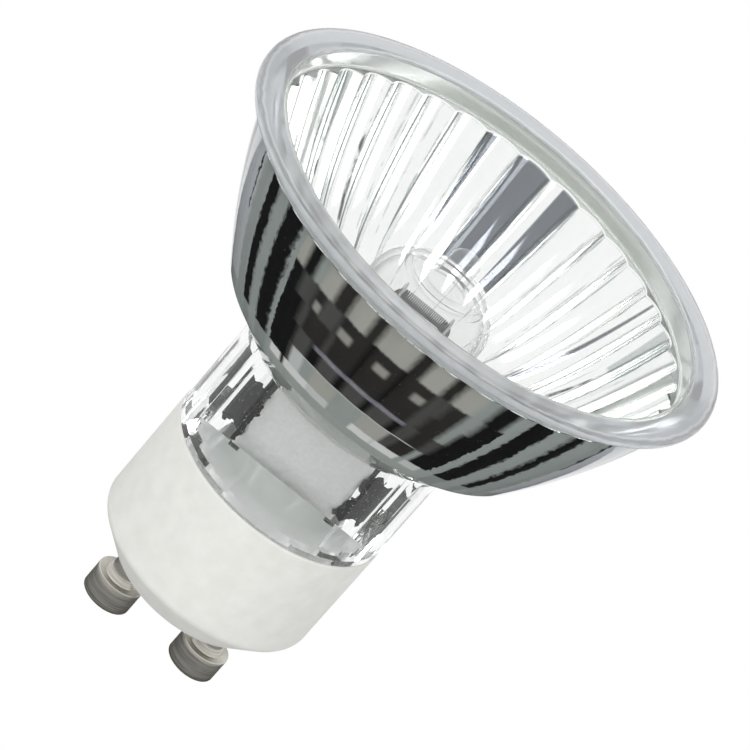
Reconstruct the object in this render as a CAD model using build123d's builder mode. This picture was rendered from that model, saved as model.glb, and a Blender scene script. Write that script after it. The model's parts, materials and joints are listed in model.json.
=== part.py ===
# A twist-lock halogen reflector bulb: a pressed glass reflector with fluted mirror,
# a quartz burner on its axis, a flat cover glass and a white ceramic two-pin cap.
# Millimetres. The lamp axis is Z, the foot of the ceramic cap is Z = 0, the pins
# point down and the two pins stand on a line along X.
import os
from math import cos, pi, radians, sin

from build123d import *

# Ceramic cap
cap_r = 11.3
cap_h = 15.0
cap_bevel = 3.2
cap_corner = 0.4
cap_floor = 3.2
cap_wall = 1.3
pocket_r = cap_r - cap_wall

# Contact pins
pin_pitch = 10.0
pin_head_r = 2.5
pin_head_h = 2.9
pin_drop = 7.0
pin_edge = 0.2
pin_shank_r = 1.45
pin_collar_r = 1.8
pin_collar_h = 0.7
pin_stem_r = 1.2
pin_hole_gap = 0.1
rivet_r = 2.3
rivet_h = 0.8
pin_bore_depth = 3.0

# Reflector: neck, with its spigot in the cap and the slot for the burner
neck_step = 0.1
neck_r = cap_r - neck_step
neck_h = 11.6
neck_top_z = cap_h + neck_h
spigot_gap = 0.3
spigot_r = pocket_r - spigot_gap
spigot_l = 4.5
spigot_wall = 1.1
slot_foot_z = cap_h - spigot_l
slot_w = 2 * (spigot_r - spigot_wall)
slot_t = 7.6
slot_roof = 2.2
slot_top_z = neck_top_z - slot_roof
throat_step = 1.3
throat_w = slot_w - 2 * throat_step
flat_wall = 2.3
flat_off = slot_t / 2 + flat_wall
flat_start = 2.6
shoulder_lip = 0.25

# Reflector: rim, and the seat for the front glass
bowl_h = 20.4
rim_r = 25.0
rim_top_z = neck_top_z + bowl_h
rim_edge = 0.4
rim_land = 2.7
seat_r = rim_r - rim_land
seat_depth = 2.1
seat_z = rim_top_z - seat_depth

# Reflector: outside of the bowl
bowl_foot_r = 16.8
bowl_foot_h = 4.3
bowl_foot_z = neck_top_z + bowl_foot_h
rim_overhang = 1.45
bowl_top_r = rim_r - rim_overhang
rim_h = 1.4
bowl_top_z = rim_top_z - rim_h
bowl_mid_share = 0.585
bowl_mid_r = bowl_foot_r + bowl_mid_share * (bowl_top_r - bowl_foot_r)
bowl_mid_z = (bowl_foot_z + bowl_top_z) / 2
bowl_bands = 3

# Reflector: flutes
flutes = 36
step = 360.0 / flutes
first_ridge = 2.75
mouth_margin = 1.1
mouth_ridge_r = seat_r - mouth_margin
mouth_scallop = 0.75
well_r = 7.6
well_rise = 2.3
well_z = neck_top_z + well_rise
well_scallop = 0.1
flute_flats = 3
wall_steps = 5
wall_power = 2.5

# Front glass and its seal
glass_gap = 0.2
glass_r = seat_r - glass_gap
glass_t = 1.75
glass_edge = 0.2
seal_t = 0.2
seal_w = 0.4
seal_side_h = 1.2

# Quartz burner, from the tip down
burner_r = 6.25
burner_wall = 0.95
tip_clear = 0.9
tip_top_z = seat_z - tip_clear
tip_r = 1.5
tip_h = 3.3
tip_root = 0.5
hat_r = 4.35
hat_h = 1.4
hat_edge = 0.35
hat_top_z = tip_top_z - tip_h
hat_base_z = hat_top_z - hat_h
dome_h = 2.1
dome_bulge = 0.55
burner_straight_z = hat_base_z - dome_h
burner_rise = 2.9
burner_foot_z = well_z + burner_rise
pinch_w = 10.6
pinch_t = 3.6
pinch_rise = 0.1
pinch_top_z = well_z + pinch_rise
pinch_l = 13.0
pinch_bottom_z = pinch_top_z - pinch_l

# Hollow of the burner
chamber_r = burner_r - burner_wall
chamber_roof = 0.3
chamber_top_z = hat_base_z - chamber_roof
chamber_corner = 2.0
chamber_wall_rise = 0.5
chamber_wall_z = burner_foot_z + chamber_wall_rise
chamber_foot_r = 3.6
chamber_foot_rise = 1.6
chamber_foot_z = pinch_top_z + chamber_foot_rise

# Burner cement in the neck
cement_w = 11.8
cement_proud = 0.2
cement_top_z = neck_top_z + cement_proud
cement_rise = 0.4
cement_foot_z = pinch_bottom_z + cement_rise

# Filament and its supports
coil_r = 0.43
strand_r = 0.17
coil_pitch = 0.6
coil_corners = 8
coil_rise = 0.6
coil_foot_z = chamber_foot_z + coil_rise
span_drop = 1.3
span_z = chamber_top_z - span_drop
span_inset = 0.75
support_r = 0.14
support_gap = 0.04
support_x = 0.8
support_y = 0.5
support_depth = 2.1
support_foot_z = pinch_top_z - support_depth
support_knee_rise = 1.1
support_knee_z = chamber_wall_z + support_knee_rise
support_tail = 0.5
hook_r = coil_r + strand_r + support_gap + support_r

# Sealing foils and leads
lead_x = 2.6
foil_w = 2.4
foil_t = 0.1
foil_l = 7.5
foil_rise = 1.8
foil_bottom_z = pinch_bottom_z + foil_rise
foil_top_z = foil_bottom_z + foil_l
weld_l = 1.4
weld_top_z = foil_bottom_z + weld_l
inner_weld_z = foil_top_z - weld_l
inner_lead_r = 0.22
inner_lead_tail = 1.2
inner_lead_top_z = coil_foot_z + inner_lead_tail
foil_y = -(foil_t / 2 + inner_lead_r)
outer_lead_r = 0.4
outer_lead_y = foil_y + foil_t / 2 + outer_lead_r
outer_lead_drop = 4.5
outer_lead_end_z = pinch_bottom_z - outer_lead_drop
pin_wire_r = 0.4
fuse_wire_r = 0.2
wire_rise = 1.5
wire_bend_z = cap_floor + rivet_h + wire_rise

sides = (("left", -1), ("right", 1))

os.makedirs("parts", exist_ok=True)


def keep(builder, name):
    """Label a finished piece, write its STEP file and say what it measures."""
    builder.part.label = name
    export_step(builder.part, f"parts/{name}.step")
    size = builder.part.bounding_box().size
    print(name, len(builder.part.solids()), "solid", round(builder.part.volume, 2), "mm3",
          [round(v, 2) for v in (size.X, size.Y, size.Z)])


def polar(r, angle):
    """The point at radius r and an angle in degrees from +X."""
    return (r * cos(radians(angle)), r * sin(radians(angle)))


# Ceramic cap: a bevelled cup with two holes for the pins
with BuildPart() as cap_body:
    with BuildSketch(Plane.XZ):
        with BuildLine():
            Polyline(
                (0, 0),
                (cap_r - cap_bevel, 0),
                (cap_r - cap_corner, cap_bevel - cap_corner),
                (cap_r, cap_bevel + cap_corner),
                (cap_r, cap_h),
                (0, cap_h),
                close=True,
            )
        make_face()
    revolve(axis=Axis.Z)
    with BuildSketch(Plane.XY.offset(cap_floor)):
        Circle(pocket_r)
    extrude(amount=cap_h - cap_floor, mode=Mode.SUBTRACT)
    with BuildSketch(Plane.XY):
        with GridLocations(pin_pitch, 1, 2, 1):
            Circle(pin_stem_r + pin_hole_gap)
    extrude(amount=cap_floor, mode=Mode.SUBTRACT)
keep(cap_body, "cap_body")


def contact_pin(side, wire_r):
    """A turned stud: head, collar, shank, a thinner stem through the ceramic and a rivet inside."""
    head_z = -pin_drop
    shoulder_z = head_z + pin_head_h
    with BuildPart() as pin:
        with BuildSketch(Plane.XZ):
            with BuildLine():
                Polyline(
                    (0, head_z),
                    (pin_head_r - pin_edge, head_z),
                    (pin_head_r, head_z + pin_edge),
                    (pin_head_r, shoulder_z),
                    (pin_collar_r, shoulder_z),
                    (pin_shank_r, shoulder_z + pin_collar_h),
                    (pin_shank_r, 0),
                    (pin_stem_r, 0),
                    (pin_stem_r, cap_floor),
                    (rivet_r, cap_floor),
                    (rivet_r, cap_floor + rivet_h),
                    (0, cap_floor + rivet_h),
                    close=True,
                )
            make_face()
        revolve(axis=Axis.Z)
        with BuildSketch(Plane.XY.offset(cap_floor + rivet_h)):
            Circle(wire_r)
        extrude(amount=-pin_bore_depth, mode=Mode.SUBTRACT)
    with BuildPart() as placed:
        with Locations((side * pin_pitch / 2, 0, 0)):
            add(pin.part)
    return placed


for name, side in sides:
    keep(contact_pin(side, pin_wire_r if side < 0 else fuse_wire_r), f"contact_pin_{name}")

# Ring of cement that holds the glass spigot in the ceramic pocket
with BuildPart() as cap_cement:
    with BuildSketch(Plane.XY.offset(slot_foot_z)):
        Circle(pocket_r)
        Circle(spigot_r, mode=Mode.SUBTRACT)
    extrude(amount=spigot_l)
keep(cap_cement, "cap_cement")

# Hollow of the bowl: a loft through scalloped rings, with three flats to each flute


def scallops(r, z, depth):
    """A closed ring with its ridges at radius r and its flutes bulging outwards by depth."""
    points = []
    for i in range(flutes * flute_flats):
        across = (i % flute_flats) / flute_flats
        chord_r = r * cos(radians(step / 2)) / cos(radians((across - 0.5) * step))
        bulge = depth * (1 - (2 * across - 1) ** 2)
        points.append(polar(chord_r + bulge, first_ridge + i * step / flute_flats))
    with BuildSketch(Plane.XY.offset(z)) as ring:
        with BuildLine():
            Polyline(*points, close=True)
        make_face()
    return ring


with BuildPart() as bowl_hollow:
    for i in range(wall_steps + 1):
        t = i / wall_steps
        ring_r = well_r + (mouth_ridge_r - well_r) * t
        ring_z = well_z + (seat_z - well_z) * t**wall_power
        add(scallops(ring_r, ring_z, well_scallop + (mouth_scallop - well_scallop) * t).sketch)
    loft(ruled=True)

# Reflector: one piece of pressed glass, turned outside, fluted inside, with two flats on the neck
with BuildPart() as reflector:
    with BuildSketch(Plane.XZ):
        with BuildLine():
            Polyline(
                (0, slot_foot_z),
                (spigot_r, slot_foot_z),
                (spigot_r, cap_h),
                (neck_r, cap_h),
                (neck_r, neck_top_z),
                (bowl_foot_r, bowl_foot_z),
            )
            curve = ThreePointArc(
                (bowl_foot_r, bowl_foot_z),
                (bowl_mid_r, bowl_mid_z),
                (bowl_top_r, bowl_top_z),
                mode=Mode.PRIVATE,
            )
            Polyline(*[curve @ (i / bowl_bands) for i in range(bowl_bands + 1)])
            Polyline(
                (bowl_top_r, bowl_top_z),
                (rim_r, bowl_top_z + rim_overhang / 2),
                (rim_r, rim_top_z - rim_edge),
                (rim_r - rim_edge, rim_top_z),
                (seat_r, rim_top_z),
                (seat_r, seat_z),
                (0, seat_z),
                (0, slot_foot_z),
            )
        make_face()
    revolve(axis=Axis.Z)
    add(bowl_hollow.part, mode=Mode.SUBTRACT)
    with BuildSketch(Plane.XY.offset(slot_foot_z)):
        SlotOverall(slot_w, slot_t)
    extrude(amount=slot_top_z - slot_foot_z, mode=Mode.SUBTRACT)
    with BuildSketch(Plane.XY.offset(slot_top_z)):
        SlotOverall(throat_w, slot_t)
    extrude(amount=well_z - slot_top_z, mode=Mode.SUBTRACT)
    for name, side in sides:
        with BuildSketch(Plane.YZ):
            with BuildLine():
                Polyline(
                    (side * flat_off, neck_top_z),
                    (side * flat_off, cap_h + flat_start),
                    (side * neck_r, cap_h + shoulder_lip),
                    (side * bowl_foot_r, cap_h + shoulder_lip),
                    (side * bowl_foot_r, neck_top_z),
                    close=True,
                )
            make_face()
        extrude(amount=neck_r, both=True, mode=Mode.SUBTRACT)
keep(reflector, "reflector")

# Front glass: a clear disc let into the rim
with BuildPart() as front_glass:
    with BuildSketch(Plane.XY.offset(seat_z + seal_t)):
        Circle(glass_r)
    extrude(amount=glass_t)
    chamfer(edges().filter_by(GeomType.CIRCLE).sort_by(Axis.Z)[-1], glass_edge)
keep(front_glass, "front_glass")

# Seal: a thin bead of silicone under the glass and up its edge
with BuildPart() as front_seal:
    with BuildSketch(Plane.XY.offset(seat_z)):
        Circle(seat_r)
        Circle(seat_r - seal_w, mode=Mode.SUBTRACT)
    extrude(amount=seal_side_h)
    with BuildSketch(Plane.XY.offset(seat_z + seal_t)):
        Circle(glass_r)
    extrude(amount=glass_t, mode=Mode.SUBTRACT)
keep(front_seal, "front_seal")

# Quartz burner: blown bulb, thick cap, drawn-off tip and pressed pinch, all one piece
with BuildPart() as burner_envelope:
    with BuildSketch(Plane.XZ):
        with BuildLine():
            Polyline(
                (0, pinch_bottom_z),
                (burner_r, pinch_bottom_z),
                (burner_r, burner_straight_z),
                ((burner_r + hat_r) / 2 + dome_bulge, (burner_straight_z + hat_base_z) / 2 + dome_bulge),
                (hat_r, hat_base_z),
                (hat_r, hat_top_z - hat_edge),
                (hat_r - hat_edge, hat_top_z),
                (tip_r + tip_root, hat_top_z),
                (tip_r, hat_top_z + tip_root),
                (tip_r, tip_top_z - tip_r),
                (tip_r * cos(pi / 4), tip_top_z - tip_r * (1 - sin(pi / 4))),
                (0, tip_top_z),
                close=True,
            )
        make_face()
    revolve(axis=Axis.Z)
    for plane, half in ((Plane.XZ, pinch_w / 2), (Plane.YZ, pinch_t / 2)):
        with BuildSketch(plane):
            with BuildLine():
                Polyline(
                    (-half, pinch_bottom_z),
                    (-half, pinch_top_z),
                    (-burner_r, burner_foot_z),
                    (-burner_r, tip_top_z),
                    (burner_r, tip_top_z),
                    (burner_r, burner_foot_z),
                    (half, pinch_top_z),
                    (half, pinch_bottom_z),
                    close=True,
                )
            make_face()
        extrude(amount=burner_r, both=True, mode=Mode.INTERSECT)
    with BuildSketch(Plane.XZ):
        with BuildLine():
            Polyline(
                (0, chamber_foot_z),
                (chamber_foot_r, chamber_foot_z),
                (chamber_r, chamber_wall_z),
                (chamber_r, chamber_top_z - chamber_corner),
                (chamber_r - chamber_corner, chamber_top_z),
                (0, chamber_top_z),
                close=True,
            )
        make_face()
    revolve(axis=Axis.Z, mode=Mode.SUBTRACT)
    with Locations((-lead_x, foil_y, foil_bottom_z), (lead_x, foil_y, foil_bottom_z)):
        Box(
            foil_w,
            foil_t,
            foil_l,
            align=(Align.CENTER, Align.CENTER, Align.MIN),
            mode=Mode.SUBTRACT,
        )
    with BuildSketch(Plane.XY.offset(inner_weld_z)):
        with Locations((-lead_x, 0), (lead_x, 0)):
            Circle(inner_lead_r)
    extrude(amount=chamber_wall_z - inner_weld_z, mode=Mode.SUBTRACT)
    with BuildSketch(Plane.XY.offset(pinch_bottom_z)):
        with Locations((-lead_x, outer_lead_y), (lead_x, outer_lead_y)):
            Circle(outer_lead_r)
    extrude(amount=weld_top_z - pinch_bottom_z, mode=Mode.SUBTRACT)
    with BuildSketch(Plane.XY.offset(support_foot_z)):
        with Locations((-support_x, support_y), (support_x, support_y)):
            Circle(support_r)
    extrude(amount=chamber_wall_z - support_foot_z, mode=Mode.SUBTRACT)
keep(burner_envelope, "burner_envelope")

# Burner cement: the white block that fixes the pinch in the neck
with BuildPart() as burner_cement:
    with BuildSketch(Plane.XY.offset(cement_foot_z)):
        SlotOverall(throat_w, slot_t)
        Rectangle(cement_w, slot_t, mode=Mode.INTERSECT)
        Rectangle(pinch_w, pinch_t, mode=Mode.SUBTRACT)
    extrude(amount=cement_top_z - cement_foot_z)
keep(burner_cement, "burner_cement")

# Sealing foils, and the leads welded to them
for name, side in sides:
    with BuildPart() as sealing_foil:
        with Locations((side * lead_x, foil_y, foil_bottom_z)):
            Box(foil_w, foil_t, foil_l, align=(Align.CENTER, Align.CENTER, Align.MIN))
    keep(sealing_foil, f"sealing_foil_{name}")

    with BuildPart() as inner_lead:
        with BuildSketch(Plane.XY.offset(inner_weld_z)):
            with Locations((side * lead_x, 0)):
                Circle(inner_lead_r)
        extrude(amount=inner_lead_top_z - inner_weld_z)
    keep(inner_lead, f"inner_lead_{name}")

    with BuildPart() as outer_lead:
        with BuildSketch(Plane.XY.offset(outer_lead_end_z)):
            with Locations((side * lead_x, outer_lead_y)):
                Circle(outer_lead_r)
        extrude(amount=weld_top_z - outer_lead_end_z)
    keep(outer_lead, f"outer_lead_{name}")


def pin_wire(side, wire_r):
    """A wire from the bore of a pin, bent inwards and laid along its lead for the weld."""
    foot_z = cap_floor + rivet_h - pin_bore_depth
    weld_x = lead_x + outer_lead_r + wire_r
    with BuildPart() as wire:
        with BuildLine() as route:
            Polyline(
                (side * pin_pitch / 2, 0, foot_z),
                (side * pin_pitch / 2, 0, wire_bend_z),
                (side * weld_x, outer_lead_y, outer_lead_end_z),
                (side * weld_x, outer_lead_y, outer_lead_end_z + weld_l),
            )
        with BuildSketch(Plane.XY.offset(foot_z)):
            with Locations((side * pin_pitch / 2, 0)):
                Circle(wire_r)
        sweep(path=route.line, transition=Transition.RIGHT)
    return wire


keep(pin_wire(-1, pin_wire_r), "pin_wire")
keep(pin_wire(1, fuse_wire_r), "fuse_wire")


def winding(plane, length):
    """Corner points of a coil wound up from a plane, with straight lengths between them."""
    n = round(length / coil_pitch * coil_corners)
    turn = 2 * pi / coil_corners
    points = [(coil_r * cos(i * turn), coil_r * sin(i * turn), length * i / n) for i in range(n + 1)]
    return [plane.from_local_coords(point) for point in points]


# Filament: two coiled legs and the coiled span between them, wound from one wire
leg_l = span_z - span_inset - coil_foot_z
span_half = lead_x - span_inset
leg_foot = Plane((-lead_x, 0, coil_foot_z))
span_end = Plane((-span_half, 0, span_z), x_dir=(0, 0, 1), z_dir=(1, 0, 0))
leg_top = Plane((lead_x, 0, coil_foot_z + leg_l), x_dir=(0, 1, 0), z_dir=(0, 0, -1))
with BuildPart() as filament:
    with BuildLine() as coil:
        Polyline(*winding(leg_foot, leg_l), *winding(span_end, 2 * span_half), *winding(leg_top, leg_l))
    with BuildSketch(Plane(origin=coil.wires()[0] @ 0, z_dir=coil.wires()[0] % 0)):
        RegularPolygon(strand_r, 4)
    sweep(path=coil.wires()[0], transition=Transition.RIGHT)
keep(filament, "filament")

# Filament supports: wires from the pinch that hook over the two upper corners
for name, side in sides:
    hook_x = side * lead_x
    with BuildPart() as support:
        with BuildLine() as route:
            Polyline(
                (side * support_x, support_y, support_foot_z),
                (side * support_x, support_y, support_knee_z),
                (hook_x, hook_r, span_z - hook_r),
                (hook_x, hook_r, span_z + hook_r),
                (hook_x, -hook_r, span_z + hook_r),
                (hook_x, -hook_r, span_z - support_tail),
            )
        with BuildSketch(Plane.XY.offset(support_foot_z)):
            with Locations((side * support_x, support_y)):
                Circle(support_r)
        sweep(path=route.line, transition=Transition.RIGHT)
    keep(support, f"filament_support_{name}")
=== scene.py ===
# %% [markdown]
# # A halogen reflector bulb, dressed for its portrait
# The bulb is a pressed glass bowl with a mirror film inside, a small quartz burner on its axis,
# a flat cover glass, and a white ceramic cap with two pins. The CAD model gives every size.
# This notebook builds finer surfaces over it, one piece to a cell, and then their finishes.
# All the lengths in the cells are millimetres, and they become metres when a mesh is made.

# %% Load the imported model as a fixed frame
import json
import math

import bpy
import numpy as np
from mathutils import Matrix


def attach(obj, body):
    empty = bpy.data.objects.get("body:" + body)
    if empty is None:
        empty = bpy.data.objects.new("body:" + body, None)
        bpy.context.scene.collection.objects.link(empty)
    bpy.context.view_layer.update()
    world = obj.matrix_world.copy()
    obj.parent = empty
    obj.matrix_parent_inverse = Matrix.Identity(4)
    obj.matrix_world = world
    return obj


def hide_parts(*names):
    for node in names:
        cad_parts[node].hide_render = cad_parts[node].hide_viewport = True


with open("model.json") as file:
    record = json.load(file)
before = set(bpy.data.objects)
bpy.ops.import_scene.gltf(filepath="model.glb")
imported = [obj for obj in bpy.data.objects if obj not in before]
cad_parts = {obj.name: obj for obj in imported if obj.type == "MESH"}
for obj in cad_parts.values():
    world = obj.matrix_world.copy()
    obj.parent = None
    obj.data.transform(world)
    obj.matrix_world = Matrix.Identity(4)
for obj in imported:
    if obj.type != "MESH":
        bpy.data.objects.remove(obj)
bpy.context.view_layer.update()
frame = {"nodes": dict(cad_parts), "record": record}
MM = 0.001
scene = bpy.context.scene

# %% [markdown]
# ## The camera
# The photograph was taken from a little above the rim with the bulb tilted to one side.
# A camera can copy that in two ways: turn the bulb, or roll the camera. The bulb has to stay
# upright in its frame, so the camera rolls. Its place was found by fitting the rim circle, the
# flutes and the two pins, so here it is only three turns, a distance and a lens.

# %% Place the camera
elevation, azimuth, roll = math.radians(27.172), math.radians(-4.882), math.radians(41.002)
distance, slide_right, slide_up, foot_z = 420.0, 21.146, 23.622, -7.0
back = np.array([math.sin(azimuth) * math.cos(elevation),
                 -math.cos(azimuth) * math.cos(elevation), math.sin(elevation)])
level = np.array([math.cos(azimuth), math.sin(azimuth), 0.0])
upward = np.cross(back, level)
right = math.cos(roll) * level + math.sin(roll) * upward
up = -math.sin(roll) * level + math.cos(roll) * upward
place = slide_right * right + slide_up * up + distance * back + np.array([0, 0, foot_z])

camera_data = bpy.data.cameras.new("camera")
camera_data.lens, camera_data.sensor_width = 217.478, 36.0
camera_data.clip_start, camera_data.clip_end = 0.01, 20.0
camera = bpy.data.objects.new("camera", camera_data)
scene.collection.objects.link(camera)
pose = np.eye(4)
pose[:3, 0], pose[:3, 1], pose[:3, 2], pose[:3, 3] = right, up, back, place * MM
camera.matrix_world = Matrix(pose.tolist())
scene.camera = camera
print("camera", [round(float(v), 1) for v in place])

# %% [markdown]
# ## Surfaces from grids of points
# Almost every piece here is a skin over rings: one ring of points for each height, all with the
# same number of points. numpy works out all the points at once. The helper then joins
# neighbouring rings with four-sided faces, and closes the ends with a fan, or joins the last
# ring to the first, as on a tube bent into a hoop.

# %% Turn grids of points into one mesh


def faces_of(rows, columns, first, hoop, flip):
    """Quads between ring i and ring i + 1, where the last column meets the first again."""
    index = first + np.arange(rows * columns).reshape(rows, columns)
    low, high = (index, np.roll(index, -1, 0)) if hoop else (index[:-1], index[1:])
    quads = np.stack([low, np.roll(low, -1, 1), np.roll(high, -1, 1), high], -1).reshape(-1, 4)
    return quads[:, ::-1] if flip else quads


def skin(name, patches, crease=32):
    """One object from patches, each (points, kind, flip). A hoop closes on itself, an end is a fan."""
    points, quads, fans, count = [], [], [], 0
    for grid, kind, flip in patches:
        rows, columns = grid.shape[:2]
        points.append(grid.reshape(-1, 3))
        quads.append(faces_of(rows, columns, count, kind == "hoop", flip))
        if kind == "closed":
            poles = count + rows * columns + np.arange(2)
            points.append(np.stack([grid[0].mean(0), grid[-1].mean(0)]))
            foot = count + np.arange(columns)
            head = foot + (rows - 1) * columns
            fan = np.stack([np.roll(foot, -1), foot, np.full(columns, poles[0])], -1)
            cap = np.stack([head, np.roll(head, -1), np.full(columns, poles[1])], -1)
            both = np.concatenate([fan, cap])
            fans.append(both[:, ::-1] if flip else both)
        count = sum(len(p) for p in points)
    corners = np.concatenate([q.ravel() for q in quads] + [f.ravel() for f in fans])
    sides = np.concatenate([np.full(len(q), 4) for q in quads] + [np.full(len(f), 3) for f in fans])
    mesh = bpy.data.meshes.new(name)
    mesh.vertices.add(count)
    mesh.vertices.foreach_set("co", (np.concatenate(points) * MM).astype(np.float32).ravel())
    mesh.loops.add(len(corners))
    mesh.loops.foreach_set("vertex_index", corners.astype(np.int32))
    mesh.polygons.add(len(sides))
    mesh.polygons.foreach_set("loop_start", (np.cumsum(sides) - sides).astype(np.int32))
    mesh.update(calc_edges=True)
    mesh.shade_smooth()
    mesh.set_sharp_from_angle(angle=math.radians(crease))
    piece = bpy.data.objects.new(name, mesh)
    scene.collection.objects.link(piece)
    print(name, int((sides - 2).sum()), "triangles")
    return piece


def wear(piece, nodes, slot, *materials):
    """Ride on the body, stand for the CAD nodes and take the materials; the slot is not used."""
    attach(piece, "root")
    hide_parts(*nodes)
    for material in materials:
        piece.data.materials.append(material)

# %% [markdown]
# ## Profiles with soft corners
# A turned or moulded piece is a profile carried round the axis. Real edges are never perfectly
# sharp, and it is the small rounding that catches the light. So a profile is written as corners,
# each with the radius of its rounding, and a helper puts a short arc in each corner.

# %% Round a profile and turn it round the axis


def rounded(corners, steps=5):
    """Corners (radius, height, rounding) to a line: each corner becomes an arc inside its two sides."""
    spots = np.array([c[:2] for c in corners], float)
    line = [spots[0]]
    for i in range(1, len(corners) - 1):
        size = corners[i][2]
        before, after = spots[i - 1] - spots[i], spots[i + 1] - spots[i]
        before, after = before / np.linalg.norm(before), after / np.linalg.norm(after)
        if size <= 0:
            line.append(spots[i])
            continue
        half = math.acos(np.clip(before @ after, -1, 1)) / 2
        reach = size / math.tan(half)
        t = np.linspace(0, 1, steps + 1)[:, None]
        start, end = spots[i] + before * reach, spots[i] + after * reach
        line.extend(start * (1 - t) ** 2 + 2 * spots[i] * t * (1 - t) + end * t**2)
    line.append(spots[-1])
    return np.array(line)


def divided(line, longest):
    """The same line with its long straight parts cut into equal lengths."""
    parts = [np.linspace(a, b, max(2, int(np.ceil(np.linalg.norm(b - a) / longest)) + 1))[:-1]
             for a, b in zip(line[:-1], line[1:])]
    return np.concatenate(parts + [line[-1:]])


def turned(line, columns=128, centre=(0.0, 0.0)):
    """Each point of the line goes round the axis: x = r cos a, y = r sin a, and z stays."""
    angle = np.arange(columns) * 2 * np.pi / columns
    r, z = line[:, :1], line[:, 1:]
    return np.stack([centre[0] + r * np.cos(angle), centre[1] + r * np.sin(angle),
                     np.broadcast_to(z, (len(line), columns))], -1)

# %% [markdown]
# ## The fluted wall
# The skilled part of this bulb is the pressed bowl. Its inner wall is a deep curve, and 36
# flutes run up it like the folds of a cake tin. On a real lamp a steel plunger presses them
# into the soft glass. A formula can do that here. The ridge radius grows evenly from the well
# to the mouth while the height follows a power of the same number, which gives the curve. Each
# flute then bulges outwards as a parabola between two ridges.

# %% The wall as a function of two numbers
flutes, first_ridge = 36, 2.75
well_r, well_z, mouth_r, seat_z, wall_power = 7.6, 28.9, 21.2, 44.9, 2.5
well_bulge, mouth_bulge = 0.1, 0.75
columns = flutes * 16
around = np.arange(columns) * 2 * np.pi / columns + math.radians(first_ridge)
across = (np.arange(columns) % 16) / 16


def wall(t, depth=0.0):
    """Rings of the inner wall for t from 0 at the well to 1 at the mouth, moved depth into the glass."""
    t = np.asarray(t, float)[:, None]
    slope_r = mouth_r - well_r
    slope_z = (seat_z - well_z) * wall_power * np.maximum(t, 0.02) ** (wall_power - 1)
    long = np.hypot(slope_r, slope_z)
    half = np.pi / flutes
    r = well_r + slope_r * t + depth * slope_z / long
    z = well_z + (seat_z - well_z) * t**wall_power - depth * slope_r / long
    chord = r * np.cos(half) / np.cos((across - 0.5) * 2 * half)
    r = chord + (well_bulge + (mouth_bulge - well_bulge) * t) * (1 - (2 * across - 1) ** 2)
    return np.stack([r * np.cos(around), r * np.sin(around), np.broadcast_to(z, r.shape)], -1)

# %% [markdown]
# ## The pressed glass
# The glass is one closed skin. It starts at the foot of the spigot, which sits in the ceramic,
# goes up the neck with its two flats and up the outside of the bowl, over the rim, down the
# fluted wall, and back down the slot that holds the burner. A ring of the neck is a circle
# whose y is held between two limits, and that makes the flats and the sloping shoulders under
# them. A ring of the slot is a stadium, a rectangle with round ends, in polar form.

# %% Rings for the neck and for the slot


def circles(line, limit=None):
    """Rings of the outside: the y of each point is held between minus and plus the limit."""
    r, z = line[:, :1], line[:, 1:]
    y = r * np.sin(around)
    if limit is not None:
        y = np.clip(y, -limit[:, None], limit[:, None])
    return np.stack([r * np.cos(around), y, np.broadcast_to(z, y.shape)], -1)


def stadiums(width, thick, heights):
    """Rings of a slot: r = b / |sin a| on the straight sides, and the polar form of a circle on the ends."""
    b, c = thick / 2, (width - thick) / 2
    side = b / np.maximum(np.abs(np.sin(around)), 1e-6)
    end = c * np.abs(np.cos(around)) + np.sqrt(np.maximum(b**2 - (c * np.sin(around)) ** 2, 0))
    r = np.where(np.abs(side * np.cos(around)) <= c, side, end)
    ring = np.stack([r * np.cos(around), r * np.sin(around)], -1)
    return np.stack([np.column_stack([ring, np.full(columns, z)]) for z in heights])


# %% Build the pressed glass
cap_h, spigot_r, spigot_foot, neck_r, neck_top = 15.0, 9.65, 10.55, 11.2, 26.6
flat_y, flat_foot, shoulder, collar_z = 6.1, 17.6, 15.25, cap_h + 0.02
seat_r, rim_r, rim_foot, rim_top = 22.3, 25.0, 46.33, 47.0
bowl_foot_r, bowl_top_r, bowl_foot_z, bowl_head_z = 16.8, 23.55, 30.9, 45.6
slot_thick, slot_l, wide_slot_l, slot_step = 7.6, 14.6, 17.2, 24.4

spigot = circles(np.array([(spigot_r, spigot_foot), (spigot_r, collar_z), (neck_r, collar_z)]))
neck_z = np.array([collar_z, shoulder, 15.6, 16.2, 16.8, 17.4, flat_foot, 17.8, 19, 21, 23, 25, neck_top])
neck_limit = np.interp(neck_z, [shoulder, flat_foot], [neck_r, flat_y])
neck = circles(np.column_stack([np.full(len(neck_z), neck_r), neck_z]), neck_limit)

bowl_z = np.linspace(bowl_foot_z, bowl_head_z, 14)
share = (bowl_z - bowl_foot_z) / (bowl_head_z - bowl_foot_z)
bowl_r = bowl_foot_r + (bowl_top_r - bowl_foot_r) * share * (1.34 - 0.34 * share)
bowl_line = np.column_stack([bowl_r, bowl_z])
outside = np.concatenate([
    rounded([(neck_r - 0.01, neck_top, 0), (neck_r, neck_top, 0), (bowl_foot_r, bowl_foot_z, 1.2),
             (*bowl_line[2], 0)]),
    bowl_line[3:-1],
    rounded([(*bowl_line[-1], 0), (rim_r, rim_foot, 0.3), (rim_r, rim_top, 0.4),
             (seat_r, rim_top, 0.15), (seat_r, seat_z, 0.1), (21.95, seat_z, 0)])])
inside = wall(np.linspace(1, 0, 40))
slot = stadiums(slot_l, slot_thick, (well_z - 0.4, slot_step + 0.1, slot_step))
wide_slot = stadiums(wide_slot_l, slot_thick, (slot_step, 23.6, 20.0, 17.2, 14.0, spigot_foot))
reflector_glass = skin("reflector_glass", [
    (np.concatenate([spigot, neck, circles(outside), inside, slot, wide_slot]), "hoop", False)])

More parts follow.
